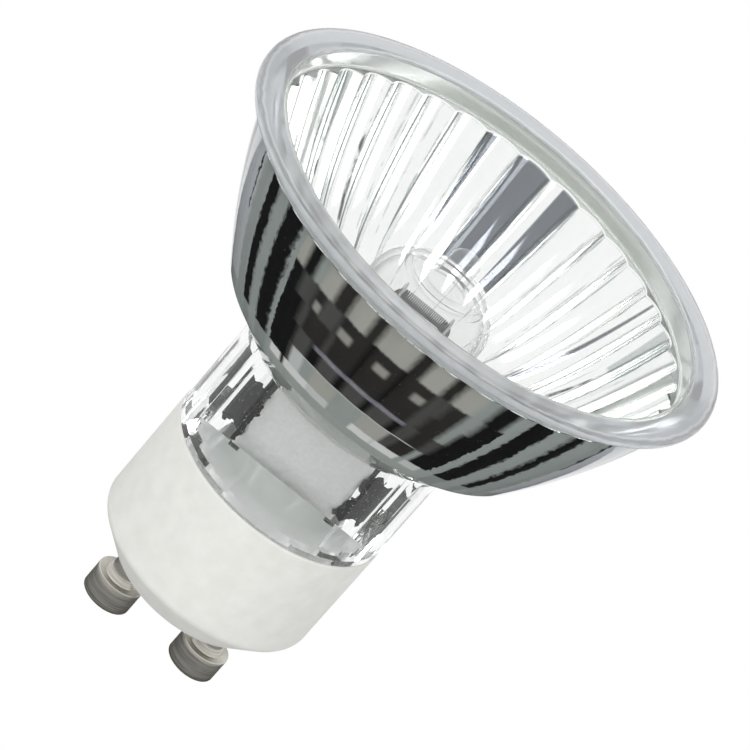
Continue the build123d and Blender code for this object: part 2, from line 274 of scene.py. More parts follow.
# %% [markdown]
# ## The mirror film
# A film of aluminium thinner than a hair covers the fluted wall. It could be a second material
# on the glass, but then light inside the glass would never meet it. So the film is a very thin
# closed shell of its own, just under the wall, and both of its faces show: the bright one
# through the cover glass, and its back through the outside of the bowl.

# %% Build the mirror film
film_t = np.linspace(0.015, 0.996, 46)
film_face = wall(film_t, 0.04)
film_back = wall(film_t[::-1], 0.07)
mirror_film = skin("mirror_film", [(np.concatenate([film_face, film_back]), "hoop", True)])

# %% [markdown]
# ## Cover glass and its bead
# The cover glass is a flat disc let into the rim, with its edge just softened. A bead of clear
# silicone holds it. Both are plain turned profiles.

# %% Build the cover glass and the bead
glass_foot, glass_r, glass_top = seat_z + 0.2, 22.1, seat_z + 1.95
cover_line = rounded([(0.5, glass_foot, 0), (glass_r, glass_foot, 0.2), (glass_r, glass_top, 0.2),
                      (0.5, glass_top, 0)])
cover_glass = skin("cover_glass", [(turned(cover_line, 256), "closed", False)])
bead_r, bead_inner_r, bead_foot, bead_top = seat_r - 0.02, 21.92, seat_z + 0.02, seat_z + 1.18
bead_line = rounded([(22.0, bead_foot, 0), (bead_r, bead_foot, 0), (bead_r, bead_top, 0.05),
                     (glass_r + 0.02, bead_top, 0.05), (glass_r + 0.02, glass_foot - 0.02, 0),
                     (bead_inner_r, glass_foot - 0.02, 0.05), (bead_inner_r, bead_foot, 0.05),
                     (22.0, bead_foot, 0)])
seal_bead = skin("seal_bead", [(turned(bead_line[:-1], 256), "hoop", False)])

# %% [markdown]
# ## The ceramic cap
# The cap is pressed from steatite powder and fired. It is a cup with a wide slanted bevel at
# its foot. A profile turned round the axis gives the cup, and a Boolean modifier then drills
# the two holes that the pins stand in.

# %% Build the ceramic cap
cap_r, cap_bevel, cap_floor, pocket_r, pin_x = 11.3, 3.2, 3.2, 10.0, 5.0
cap_line = rounded([(0.5, 0, 0), (cap_r - cap_bevel, 0, 0.5), (cap_r, cap_bevel, 1.2),
                    (cap_r, cap_h, 0.35), (pocket_r, cap_h, 0.15), (pocket_r, cap_floor, 0.8),
                    (0.5, cap_floor, 0)], 7)
ceramic_cap = skin("ceramic_cap", [(turned(cap_line, 192), "closed", False)])


def drill(piece, drills):
    """Cut closed skins out of a piece with Boolean modifiers, apply them and delete the drills."""
    for tool in drills:
        cut = piece.modifiers.new("drill", "BOOLEAN")
        cut.operation, cut.solver, cut.object = "DIFFERENCE", "EXACT", tool
    solved = piece.evaluated_get(bpy.context.evaluated_depsgraph_get())
    done = bpy.data.meshes.new_from_object(solved)
    piece.modifiers.clear()
    piece.data = done
    for tool in drills:
        bpy.data.objects.remove(tool)


hole_r = 1.3
hole_line = np.array([(hole_r, -1.0), (hole_r, cap_floor + 1.0)])
bpy.context.view_layer.update()
drill(ceramic_cap, [skin(f"drill_{n}", [(turned(hole_line, 48, (x, 0)), "closed", False)])
                    for n, x in enumerate((-pin_x, pin_x))])
print("ceramic_cap after drilling", len(ceramic_cap.data.polygons), "faces")

# %% [markdown]
# ## The contact pins
# Each pin is turned from brass and plated with nickel: a wide head, a neck, and a stem that is
# riveted over inside the cap. The profile below runs from the middle of the head, up the
# outside and down into the bore that takes the wire.

# %% Build the contact pins
pin_foot, head_r, head_top, stem_r = -6.98, 2.5, -4.1, 1.2
for side, x, bore in (("left", -pin_x, 0.42), ("right", pin_x, 0.22)):
    pin_line = rounded([
        (0.2, pin_foot, 0), (2.15, -6.9, 0.3), (head_r, -6.72, 0.12), (head_r, head_top, 0.12),
        (1.8, head_top, 0.05), (1.72, -3.9, 0.06), (1.45, -3.4, 0.1), (1.45, -0.02, 0.06),
        (stem_r, -0.02, 0.03), (stem_r, cap_floor + 0.02, 0.03), (2.3, cap_floor + 0.02, 0.1),
        (2.25, 3.7, 0.15), (1.5, 4.0, 0.2), (bore, 4.0, 0.03), (bore, 1.0, 0), (0.1, 1.0, 0)], 4)
    pin = skin(f"pin_{side}", [(turned(divided(pin_line, 0.6), 96, (x, 0)), "closed", False)], 50)
    pin["node"] = f"contact_pin_{side}"

# %% [markdown]
# ## The quartz burner
# The burner is a thumb of quartz tubing. Its top was heated and closed with a drawn-off tip,
# and its foot pinched flat while soft. Its rings go from a rounded rectangle in the pinch to a
# circle in the bulb, so each ring is a mix of the two. The top is a flat disc with a few
# shallow rings, left by the torch, and the tip stands on it. The hollow is a second skin whose
# faces point into the hollow. It follows the outside half a millimetre in, because blown
# quartz has an even wall.

# %% Build the quartz burner


def pinch_mix(line, mix, columns=128):
    """Rings between a circle of the line's radius, mix 0, and a rounded rectangle 10.6 by 3.6, mix 1."""
    angle = np.arange(columns) * 2 * np.pi / columns
    c, s = np.abs(np.cos(angle)), np.abs(np.sin(angle))
    box = ((c / 5.3) ** 9 + (s / 1.8) ** 9) ** (-1 / 9)
    r = line[:, :1] * (1 - mix[:, None]) + box * mix[:, None]
    return np.stack([r * np.cos(angle), r * np.sin(angle), np.broadcast_to(line[:, 1:], r.shape)], -1)


bulb_r, disc_r, dome_foot, dome_h, wall_thick = 6.25, 4.2, 36.7, 3.0, 0.45
pinch_top, bulb_foot = 29.0, 31.8
turn_share = np.linspace(0, 1, 12) * np.pi / 2
dome_line = np.column_stack([disc_r + (bulb_r - disc_r) * np.cos(turn_share) ** 0.8,
                             dome_foot + dome_h * np.sin(turn_share)])
tip_line = rounded([(disc_r, 39.7, 0), (4.35, 39.8, 0.04), (4.3, 40.25, 0.12), (3.95, 40.28, 0.05),
                    (3.8, 40.12, 0.05), (3.5, 40.12, 0.05), (3.35, 40.25, 0.05), (2.5, 40.2, 0.05),
                    (2.4, 40.1, 0.05), (1.9, 40.1, 0.1), (1.5, 40.7, 0.3), (1.47, 43.0, 0.25),
                    (1.1, 43.6, 0.3), (0.12, 43.7, 0)], 6)
blown = np.concatenate([np.array([(bulb_r, z) for z in np.linspace(bulb_foot, 36.4, 6)]),
                        dome_line, tip_line[1:]])
foot_z_list = np.concatenate([np.linspace(16.02, pinch_top, 8), np.linspace(29.3, 31.5, 8)])
foot_mix = np.interp(foot_z_list, [pinch_top, bulb_foot], [1, 0])
foot_mix = foot_mix**2 * (3 - 2 * foot_mix)
outer = pinch_mix(np.concatenate([np.column_stack([np.full(16, bulb_r), foot_z_list]), blown]),
                  np.concatenate([foot_mix, np.zeros(len(blown))]))
hollow_dome = dome_line - wall_thick
hollow_line = np.concatenate([
    rounded([(0.3, 30.6, 0), (4.4, 30.6, 0.9), (5.8, 32.3, 1.2), (*hollow_dome[0], 0)], 8),
    hollow_dome[1:],
    rounded([(3.75, 39.25, 0), (3.5, 39.45, 0.1), (2.9, 39.35, 0.2), (2.2, 39.5, 0.2),
             (0.3, 39.3, 0)], 6)[1:]])
burner_quartz = skin("burner_quartz", [(outer, "closed", False),
                                       (turned(hollow_line, 128), "closed", True)], 60)

# %% [markdown]
# ## Wires
# A wire is a small circle carried along a path. At each point the direction of the path is the
# difference between its neighbours, and two directions square to it span the circle. The
# filament is such a wire wound round a path that is itself bent twice, up, across and down.

# %% Carry a circle along a path


def wire(path, radius, sides=8):
    """A tube: point = path + radius (n cos a + b sin a), with n and b square to the path."""
    ahead = np.gradient(path, axis=0)
    ahead /= np.linalg.norm(ahead, axis=1, keepdims=True)
    n = np.cross(ahead, np.array([0.31, 0.83, 0.47]))
    n /= np.linalg.norm(n, axis=1, keepdims=True)
    b = np.cross(ahead, n)
    angle = np.arange(sides)[:, None] * 2 * np.pi / sides
    return path[:, None] + radius * (n[:, None] * np.cos(angle) + b[:, None] * np.sin(angle))


def smooth_path(corners, bend, spacing=0.05):
    """Straight runs through the corners, each eased by a moving average as long as the bend."""
    corners = np.array(corners, float)
    far = np.concatenate([[0], np.cumsum(np.linalg.norm(np.diff(corners, axis=0), axis=1))])
    s = np.arange(0, far[-1], spacing)
    line = np.stack([np.interp(s, far, corners[:, i]) for i in range(3)], -1)
    window = max(1, int(bend / spacing)) | 1
    padded = np.pad(line, ((window // 2, window // 2), (0, 0)), mode="edge")
    kernel = np.ones(window) / window
    return np.stack([np.convolve(padded[:, i], kernel, "valid") for i in range(3)], -1)


# %% Build the filament and its supports
lead_x, coil_foot, span_z, coil_r, coil_pitch = 2.6, 31.2, 36.7, 0.5, 0.19
coil_wire_r, support_r, step = 0.07, 0.14, 0.012
core = smooth_path([(-lead_x, 0, coil_foot), (-lead_x, 0, span_z), (lead_x, 0, span_z),
                    (lead_x, 0, coil_foot)], 1.5, step)
turn = np.arange(len(core)) * step * 2 * np.pi / coil_pitch
ahead = np.gradient(core, axis=0)
ahead /= np.linalg.norm(ahead, axis=1, keepdims=True)
sideways = np.cross(ahead, [0, 1, 0])
coil = core + coil_r * (np.cos(turn)[:, None] * sideways + np.sin(turn)[:, None] * np.array([0, 1, 0]))
filament_coil = skin("filament_coil", [(wire(coil, coil_wire_r, 6), "closed", False)], 70)

hook = coil_r + coil_wire_r + 0.16
for side, sign in (("left", -1), ("right", 1)):
    x = sign * lead_x
    route = smooth_path([(sign * 0.8, 0.5, 26.95), (sign * 0.8, 0.5, 33.4), (x, hook, span_z - hook),
                         (x, hook, span_z + hook), (x, -hook, span_z + hook),
                         (x, -hook, span_z - 0.5)], 0.6)
    support = skin(f"support_{side}", [(wire(route, support_r, 12), "closed", False)], 70)
    support["node"] = f"filament_support_{side}"

# %% [markdown]
# ## The burner cement
# A white paste sets round the pinch and fixes it in the neck. It is a stadium as thick as the
# slot with its round ends cut short, and its skin is a little lumpy, because it was poured. A
# second block, a plain stadium, fills the slot up to the well, and keeps it from looking dark.

# %% Build the burner cement
cement_z = np.linspace(16.45, 26.75, 40)
angle = np.arange(160) * 2 * np.pi / 160
c, s = np.abs(np.cos(angle)), np.abs(np.sin(angle))
block_r = ((c / 5.85) ** 14 + (s / 3.75) ** 14) ** (-1 / 14)
lump = 0.04 * (np.sin(7 * angle + 1.3 * cement_z[:, None]) + np.sin(17 * angle - 2.1 * cement_z[:, None]))
block_r = block_r - 0.09 + lump
block = np.stack([block_r * np.cos(angle), block_r * np.sin(angle),
                  np.broadcast_to(cement_z[:, None], block_r.shape)], -1)
well_fill = stadiums(14.4, 7.4, (24.5, 28.2, 28.6))
cement_block = skin("cement_block", [(block, "closed", False), (well_fill, "closed", False)], 60)

# %% [markdown]
# ## Materials in nodes
# Each finish is a small graph of nodes that ends in the Principled shader. Two helpers keep the
# graphs short: one adds a node and fills its sockets, the other does a sum between sockets.

# %% Helpers for node graphs


def begin(name):
    """A new material with its node tree and its Principled shader."""
    material = bpy.data.materials.new(name)
    material.use_nodes = True
    return material, material.node_tree, material.node_tree.nodes["Principled BSDF"]


def node(tree, kind, inputs=None, **settings):
    """Add a node, set its options, and give each named socket a value or a link."""
    made = tree.nodes.new(kind)
    for key, value in settings.items():
        setattr(made, key, value)
    for key, value in (inputs or {}).items():
        if isinstance(value, bpy.types.NodeSocket):
            tree.links.new(value, made.inputs[key])
        else:
            made.inputs[key].default_value = value
    return made


def calc(tree, operation, *values):
    """One Math node, and its result."""
    return node(tree, "ShaderNodeMath", dict(enumerate(values)), operation=operation).outputs[0]


def ramp(tree, value, stops):
    """A colour ramp from stops of (place, colour)."""
    made = node(tree, "ShaderNodeValToRGB", {"Fac": value})
    bands = made.color_ramp.elements
    while len(bands) < len(stops):
        bands.new(0.5)
    for band, (where, colour) in zip(bands, stops):
        band.position, band.color = where, (*colour, 1)
    return made.outputs["Color"]


def noise(tree, where, scale, detail=3.0, stretch=(1, 1, 1)):
    """Noise in millimetres: scale is how many lumps fit in one millimetre."""
    mapped = node(tree, "ShaderNodeMapping", {"Vector": where, "Scale": tuple(v * 1000 for v in stretch)})
    return node(tree, "ShaderNodeTexNoise",
                {"Vector": mapped.outputs[0], "Scale": scale, "Detail": detail}).outputs["Fac"]


def bump(tree, shader, height, depth):
    """Bump of a depth in millimetres."""
    made = node(tree, "ShaderNodeBump", {"Height": height, "Distance": depth * MM, "Strength": 1.0})
    tree.links.new(made.outputs[0], shader.inputs["Normal"])


# %% Helpers that mask and paint


def object_place(tree):
    """Object coordinates, in metres."""
    return node(tree, "ShaderNodeTexCoord").outputs["Object"]


def xyz_of(tree, where):
    """The x, y and z of a vector."""
    return node(tree, "ShaderNodeSeparateXYZ", {"Vector": where}).outputs


def eased(tree, value, low, high):
    """0 below low, 1 above high, and a smooth step between."""
    return node(tree, "ShaderNodeMapRange", {"Value": value, "From Min": low, "From Max": high},
                interpolation_type="SMOOTHSTEP").outputs[0]


def between(tree, value, low, high, soft):
    """1 between low and high with soft ends."""
    return calc(tree, "MULTIPLY", eased(tree, value, low - soft, low + soft),
                eased(tree, value, high + soft, high - soft))


def mixed(tree, mask, below, above):
    """The colour below where the mask is 0, and the one above where it is 1."""
    return node(tree, "ShaderNodeMix", {0: mask, 6: below, 7: above}, data_type="RGBA").outputs[2]


def over(tree, below, tone, mask):
    """Paint a tone over a colour where the mask is 1."""
    return mixed(tree, mask, below, (*tone, 1))

# %% [markdown]
# ## Clear glass and quartz
# Real glass is not quite colourless: iron leaves a breath of green, and thick parts look
# darker. The pressed glass bends what is behind it, so it gets full transmission with a faint
# tint, and a shallow bump that keeps its reflections from being perfectly still. The cover
# glass and the burner could be made in the same way. But rays that go round in the mirror
# would cross them many times and bend each time, and the bowl would come out grey. They are
# thin, so they are see-through instead, with a low alpha. On the quartz Layer Weight raises
# the alpha and turns the colour grey where the wall is seen edge on: a painted dark reflection
# that draws its fine outline.

# %% Make the clear glasses


def glass(name, tint, ior, roughness, ripple, ripple_scale, transmission=1.0, alpha=1.0):
    """Clear glass with a shallow ripple: transmission bends light, and a low alpha makes a thin sheet."""
    material, tree, shader = begin(name)
    where = object_place(tree)
    shader.inputs["Base Color"].default_value = (*tint, 1)
    shader.inputs["Transmission Weight"].default_value = transmission
    shader.inputs["Alpha"].default_value = alpha
    shader.inputs["IOR"].default_value = ior
    shader.inputs["Roughness"].default_value = roughness
    bump(tree, shader, noise(tree, where, ripple_scale), ripple)
    print(name, "transmission", transmission)
    return material


pressed_glass = glass("bowl_glass", (0.955, 0.97, 0.965), 1.47, 0.02, 0.02, 0.35)
flat_glass = glass("flat_glass", (0.97, 0.98, 0.975), 1.47, 0.02, 0.004, 0.1, 0.0, 0.03)
quartz = glass("clear_quartz", (0.985, 0.985, 0.99), 1.46, 0.0, 0.05, 0.8, 0.0)

tree = quartz.node_tree
shader = tree.nodes["Principled BSDF"]
# Grey where the wall is seen edge on: a painted dark reflection that draws the outline.
facing = node(tree, "ShaderNodeLayerWeight", {"Blend": 0.5}).outputs["Facing"]
tree.links.new(ramp(tree, facing, [(0.55, (0.95, 0.96, 0.96)), (0.75, (0.5, 0.52, 0.52))]),
               shader.inputs["Base Color"])
see_through = {"Value": facing, "From Min": 0.5, "From Max": 0.9, "To Min": 0.07, "To Max": 0.65}
tree.links.new(node(tree, "ShaderNodeMapRange", see_through).outputs[0], shader.inputs["Alpha"])

# %% [markdown]
# ## Ground glass
# The rim, the edge of the cover glass and the shoulders of the neck are ground or chilled, not
# polished, so they scatter light and look milky. There the transmission is partial, and rings
# of other tones run round the axis. On the rim two thin white rings are painted highlights along
# its edges, and a grey ring lies near its outer edge.

# %% Make the ground glass


def ground(name, rings, inner_r, outer_r, transmission, roughness):
    """Milky glass: a ramp of tones over the radius, the root of x * x + y * y, broken by noise."""
    material, tree, shader = begin(name)
    where = object_place(tree)
    xyz = xyz_of(tree, where)
    radius = calc(tree, "SQRT", calc(tree, "ADD", calc(tree, "MULTIPLY", xyz["X"], xyz["X"]),
                                     calc(tree, "MULTIPLY", xyz["Y"], xyz["Y"])))
    share = calc(tree, "DIVIDE", calc(tree, "SUBTRACT", radius, inner_r * MM), (outer_r - inner_r) * MM)
    uneven = calc(tree, "MULTIPLY", calc(tree, "SUBTRACT", noise(tree, where, 0.6, 4.0), 0.5), 0.12)
    tree.links.new(ramp(tree, calc(tree, "ADD", share, uneven), rings), shader.inputs["Base Color"])
    shader.inputs["Transmission Weight"].default_value = transmission
    shader.inputs["IOR"].default_value = 1.47
    shader.inputs["Roughness"].default_value = roughness
    bump(tree, shader, noise(tree, where, 1.2, 4.0, (1, 1, 2)), 0.01)
    print(name, "rings", len(rings))
    return material


mist, green_grey = (0.70, 0.725, 0.75), (0.58, 0.63, 0.58)
# On the rim the white rings at 0.34 and 0.86 are painted highlights along its inner and outer edges.
rim_rings = [(0.0, green_grey), (0.25, green_grey), (0.34, (0.9, 0.91, 0.93)), (0.42, mist), (0.8, mist),
             (0.86, (0.95, 0.96, 0.98)), (0.93, (0.5, 0.51, 0.53)), (1.0, mist)]
shoulder_rings = [(0.0, (0.84, 0.88, 0.86)), (0.5, (0.76, 0.80, 0.78)), (1.0, (0.9, 0.92, 0.91))]
ground_rim = ground("ground_rim", rim_rings, 21.0, rim_r, 0.6, 0.15)
ground_edge = ground("ground_edge", [(0.0, green_grey), (1.0, (0.66, 0.69, 0.65))], 21.9, glass_r, 0.6, 0.2)
shoulder_glass = ground("shoulder_glass", shoulder_rings, 7.0, 11.0, 0.45, 0.22)

# %% [markdown]
# ## Painted shade in the slot
# Behind each flat of the neck the slot for the burner looks black and speckled at its two ends,
# where its hollows lie in shade. That dark is painted shade: the slot's wall stays glass, and a
# mask turns it black and opaque near the flats, past a distance from the middle, and between
# two heights, with light specks in the black. Noise is added to the distance and the height,
# which makes the border ragged.

# %% Paint the shade in the slot
slot_shade, tree, shader = begin("painted_slot_shade")
where = object_place(tree)
xyz = xyz_of(tree, where)
ragged = calc(tree, "MULTIPLY", calc(tree, "SUBTRACT", noise(tree, where, 0.7, 2.0), 0.5), 3 * MM)
from_middle = calc(tree, "ADD", calc(tree, "ABSOLUTE", xyz["X"]), ragged)
height = calc(tree, "ADD", xyz["Z"], ragged)
near_flat = calc(tree, "GREATER_THAN", calc(tree, "ABSOLUTE", xyz["Y"]), 2.0 * MM)
dark = calc(tree, "MULTIPLY", calc(tree, "GREATER_THAN", from_middle, 5.7 * MM), near_flat)
for operation, limit in (("GREATER_THAN", 17.9), ("LESS_THAN", 22.9)):
    dark = calc(tree, "MULTIPLY", dark, calc(tree, operation, height, limit * MM))
speck = calc(tree, "MULTIPLY", calc(tree, "GREATER_THAN", noise(tree, where, 8.0, 2.0), 0.7), dark)
# Black over the slot's ends, with light specks in it: painted shade.
shade = over(tree, (0.96, 0.97, 0.965, 1), (0.02, 0.02, 0.02), dark)
tree.links.new(over(tree, shade, (0.7, 0.7, 0.7), speck), shader.inputs["Base Color"])
tree.links.new(calc(tree, "SUBTRACT", 1.0, dark), shader.inputs["Transmission Weight"])
shader.inputs["IOR"].default_value = 1.47
shader.inputs["Roughness"].default_value = 0.05
print("painted_slot_shade nodes", len(tree.nodes))

# %% [markdown]
# ## A sheet to paint on
# Both faces of the mirror film follow the flutes. The angle round the axis comes from the
# arctangent of y and x. Divided by the width of one flute it counts the flutes, and the height
# gives how far up the wall a point lies. With these two numbers a pattern can be painted on the
# wall like on a sheet. A UV map could hold them too, but then the pattern would hang on one
# mesh, and these numbers need only the place.

# %% Helpers that paint on the wall


def flute_numbers(tree, where, lift=0.0):
    """Flutes counted round the axis, 0 to 36, and the way up the wall, raised by a lift."""
    xyz = xyz_of(tree, where)
    angle = calc(tree, "ARCTAN2", xyz["Y"], xyz["X"])
    along = calc(tree, "DIVIDE", calc(tree, "SUBTRACT", angle, math.radians(first_ridge)),
                 2 * math.pi / flutes)
    height = calc(tree, "DIVIDE", calc(tree, "SUBTRACT", xyz["Z"], (well_z + lift) * MM),
                  (seat_z - well_z) * MM)
    up_wall = calc(tree, "POWER", calc(tree, "MAXIMUM", height, 0.0), 1 / wall_power)
    return calc(tree, "FLOORED_MODULO", along, float(flutes)), up_wall


def streak(tree, along, up_wall, foot, head, foot_width, head_width, soft=0.03):
    """A wedge from foot to head, both (flute, height), as wide at its ends as the widths say."""
    share = node(tree, "ShaderNodeMapRange",
                 {"Value": up_wall, "From Min": foot[1], "From Max": head[1]}).outputs[0]
    middle = calc(tree, "MULTIPLY_ADD", share, head[0] - foot[0], foot[0])
    half = calc(tree, "MULTIPLY_ADD", share, (head_width - foot_width) / 2, foot_width / 2)
    off = calc(tree, "SUBTRACT", calc(tree, "ABSOLUTE", calc(tree, "SUBTRACT", along, middle)), half)
    return calc(tree, "MULTIPLY", eased(tree, off, soft, -soft),
                between(tree, up_wall, foot[1], head[1], 0.006))


def strips(tree, value, low, high, marks, soft):
    """Strips side by side: each mark is (start, paint), and a paint runs to the next start."""
    stops = [marks[0]]
    for (_, before), (start, after) in zip(marks[:-1], marks[1:]):
        stops += [(start - soft, before), (start + soft, after)]
    share = calc(tree, "MULTIPLY_ADD", value, 1 / (high - low), -low / (high - low))
    return ramp(tree, share, [((x - low) / (high - low), paints[name]) for x, name in stops])


# %% [markdown]
# ## The bright face
# Seen through the cover glass the film is nearly white. Painted into its colour are reflections:
# thin grey lines on its ridges and along some flutes, and a few dark wedges, where a flute
# mirrors something dark in the studio. Dark cards round the bulb could give the wedges too, but
# they would have to stand in just the right places. So they are painted into the film's colour,
# and the metal still mirrors the room.

# %% Make the bright face
mirror_face, tree, shader = begin("mirror_face")
where = object_place(tree)
along, up_wall = flute_numbers(tree, where, 0.8)
broken = eased(tree, noise(tree, where, 1.1, 3.0, (1, 1, 0.2)), 0.4, 0.6)
# Thin grey lines on the ridges, broken by noise, are painted reflections.
ridge = calc(tree, "ABSOLUTE", calc(tree, "SUBTRACT", calc(tree, "FRACT", along), 0.5))
line = calc(tree, "MULTIPLY", eased(tree, ridge, 0.46, 0.495), broken)
colour = ramp(tree, noise(tree, where, 1.4, 5.0, (1, 1, 0.12)),
              [(0.35, (0.975, 0.98, 0.975)), (0.6, (0.995, 0.995, 0.99))])
colour = over(tree, colour, (0.62, 0.65, 0.63), line)

grey, dark_grey, light_grey = (0.16, 0.17, 0.19), (0.07, 0.07, 0.08), (0.6, 0.63, 0.62)
# Painted reflections, each (foot, head, widths at the two ends, tone): wedges where a flute mirrors
# something dark or grey, and thin streaks along single flutes.
wedges = [((7.32, 0.6), (7.32, 0.975), (0.42, 0.6), grey),
          ((8.5, 0.6), (8.5, 0.975), (0.98, 0.98), grey),
          ((9.75, 0.65), (9.83, 0.975), (0.02, 0.34), grey),
          ((2.5, 0.8), (2.55, 0.975), (0.5, 0.55), light_grey),
          ((3.99, 0.46), (3.73, 0.975), (0.17, 0.06), grey),
          ((14.45, 0.78), (14.45, 0.975), (0.2, 0.55), light_grey)]
reflected_streaks = [((2.72, 0.56), (2.6, 0.8), (0.12, 0.04), dark_grey),
             ((12.93, 0.5), (13.13, 0.95), (0.16, 0.04), dark_grey),
             ((14.38, 0.62), (14.42, 0.8), (0.04, 0.12), dark_grey)]
reflected_streaks += [((middle, 0.5), (middle, 0.975), (0.03, 0.05), light_grey)
              for middle in (1.0, 1.6, 5.4, 6.3, 11.0, 11.3, 12.1, 13.6, 15.3, 16.2)]
for foot, head, widths, tone in wedges:
    colour = over(tree, colour, tone, streak(tree, along, up_wall, foot, head, *widths))
for foot, head, widths, tone in reflected_streaks:
    mask = calc(tree, "MULTIPLY", streak(tree, along, up_wall, foot, head, *widths), broken)
    colour = over(tree, colour, tone, mask)
colour = over(tree, colour, (0.55, 0.57, 0.56), eased(tree, up_wall, 0.972, 0.98))
tree.links.new(colour, shader.inputs["Base Color"])
shader.inputs["Metallic"].default_value = 1.0
shader.inputs["Roughness"].default_value = 0.07
print("mirror_face wedges", len(wedges), "lines", len(reflected_streaks))

# %% [markdown]
# ## The back of the film, painted with reflections
# Through the outside of the bowl the back of the film shows. Its colour is painted reflection,
# with no gloss of its own: in front rows of patches, dark and light like bricks, with white
# painted highlights in the lowest row, and at the flanks long strips, dark and light in turn.
# Each row is a list of places where one tone gives way to the next, counted in flutes from the
# front. The rows are laid over one another from the well to the rim, and a little noise in the
# two numbers makes the borders uneven.

# %% Choose the tones and the rows of painted reflections
paints = {"ink": (0.015, 0.015, 0.016), "umber": (0.045, 0.042, 0.04), "dusk": (0.12, 0.12, 0.115),
          "pale": (0.46, 0.50, 0.48), "taupe": (0.56, 0.56, 0.51), "haze": (0.78, 0.80, 0.80),
          "mist": (0.72, 0.74, 0.78), "white": (0.97, 0.97, 0.97)}
flank_reflections = [(-9, "pale"), (-8.6, "ink"), (-8.1, "pale"), (-7.6, "ink"), (-7.1, "mist"), (-5.7, "pale"),
                (-5.1, "ink"), (-4.65, "pale"), (-4.15, "ink"), (-3.5, "pale"), (3.55, "ink"),
                (4.05, "pale"), (4.65, "ink"), (4.95, "pale"), (5.8, "mist"), (7.1, "ink")]
rows = [
    (0.50, 0.05, [
        (-3.3, "pale"), (-3.15, "white"), (-2.63, "umber"), (-2.48, "white"), (-1.4, "haze"),
        (-0.5, "pale"), (0.4, "white"), (1.2, "haze"), (1.28, "white"), (2.15, "pale"),
        (2.4, "haze"), (3.0, "pale")]),
    (0.56, 0.07, [
        (-3.3, "ink"), (-2.45, "dusk"), (-2.3, "haze"), (-1.8, "pale"), (-1.4, "taupe"), (-0.5, "pale"),
        (0.45, "taupe"), (1.35, "dusk"), (1.7, "umber"), (2.25, "pale"), (2.5, "ink")]),
    (0.665, 0.1, [
        (-3.3, "ink"), (-2.4, "dusk"), (-1.8, "ink"), (-1.4, "dusk"), (-0.75, "ink"), (-0.45, "dusk"),
        (0.2, "ink"), (0.45, "dusk"), (1.1, "ink"), (1.4, "dusk"), (1.8, "umber"), (2.25, "dusk"),
        (2.6, "ink")]),
    (0.76, 0.09, [
        (-3.3, "ink"), (-2.55, "dusk"), (-2.3, "umber"), (-1.5, "dusk"), (-1.35, "umber"), (-0.54, "ink"),
        (-0.44, "umber"), (0.42, "ink"), (0.52, "umber"), (1.35, "dusk"), (1.7, "umber"),
        (2.25, "pale"), (2.6, "ink")]),
    (0.845, 0.1, [
        (-3.3, "ink"), (-2.85, "dusk"), (-2.35, "umber"), (-2.0, "dusk"), (-1.45, "umber"),
        (-0.54, "ink"), (-0.44, "umber"), (0.42, "ink"), (0.52, "umber"), (1.35, "dusk"),
        (1.8, "umber"), (2.25, "pale"), (2.7, "ink")]),
    (0.92, 0.09, [
        (-3.3, "taupe"), (-2.95, "ink"), (-2.6, "pale"), (-2.35, "taupe"), (-1.85, "umber"),
        (-1.42, "taupe"), (-0.8, "umber"), (-0.48, "taupe"), (0.45, "umber"), (0.8, "taupe"),
        (1.37, "umber"), (1.7, "taupe"), (2.25, "pale"), (2.65, "ink"), (3.1, "pale")])]
front_flute, half_turn = 26.4, 9.0
print("rows", len(rows))

# %% Lay the rows over one another
painted_back_reflections, tree, shader = begin("painted_back_reflections")
where = object_place(tree)
along, up_wall = flute_numbers(tree, where)
side = calc(tree, "WRAP", calc(tree, "SUBTRACT", along, front_flute), half_turn, -half_turn)
jag = calc(tree, "SUBTRACT", noise(tree, where, 2.4, 5.0, (1, 1, 0.6)), 0.5)
placed = calc(tree, "MULTIPLY_ADD", jag, 0.3, side)
nearly = calc(tree, "MULTIPLY_ADD", jag, 0.08, side)
height = calc(tree, "MULTIPLY_ADD", jag, 0.012, up_wall)
colour = (0.5, 0.53, 0.5, 1)
# Each row paints reflections: dark where the film mirrors dark things, light and white where it mirrors
# light ones.
for foot, soft, marks in rows:
    painted = strips(tree, nearly, -3.4, 3.4, marks, soft)
    colour = mixed(tree, eased(tree, height, foot - 0.006, foot + 0.006), colour, painted)

# %% Add the small painted reflections in front
# Taupe patches, a lavender streak and a thin haze line, all painted reflections.
for middle, width in ((-2.15, 0.12), (-1.17, 0.22), (0.0, 0.2), (1.1, 0.16)):
    patch = calc(tree, "MULTIPLY", between(tree, side, middle - width, middle + width, 0.08),
                 between(tree, up_wall, 0.853, 0.883, 0.008))
    colour = over(tree, colour, paints["taupe"], calc(tree, "MULTIPLY", patch, 0.8))
lavender_reflection = calc(tree, "MULTIPLY", between(tree, up_wall, 0.738, 0.757, 0.006),
             between(tree, side, -1.7, 1.4, 0.1))
colour = over(tree, colour, (0.62, 0.6, 0.7), calc(tree, "MULTIPLY", lavender_reflection,
                                                   noise(tree, where, 1.8, 4.0, (1, 1, 6))))
edge_line = calc(tree, "MULTIPLY", between(tree, up_wall, 0.663, 0.669, 0.002),
                 between(tree, side, -2.1, 2.1, 0.2))
colour = over(tree, colour, paints["haze"], edge_line)

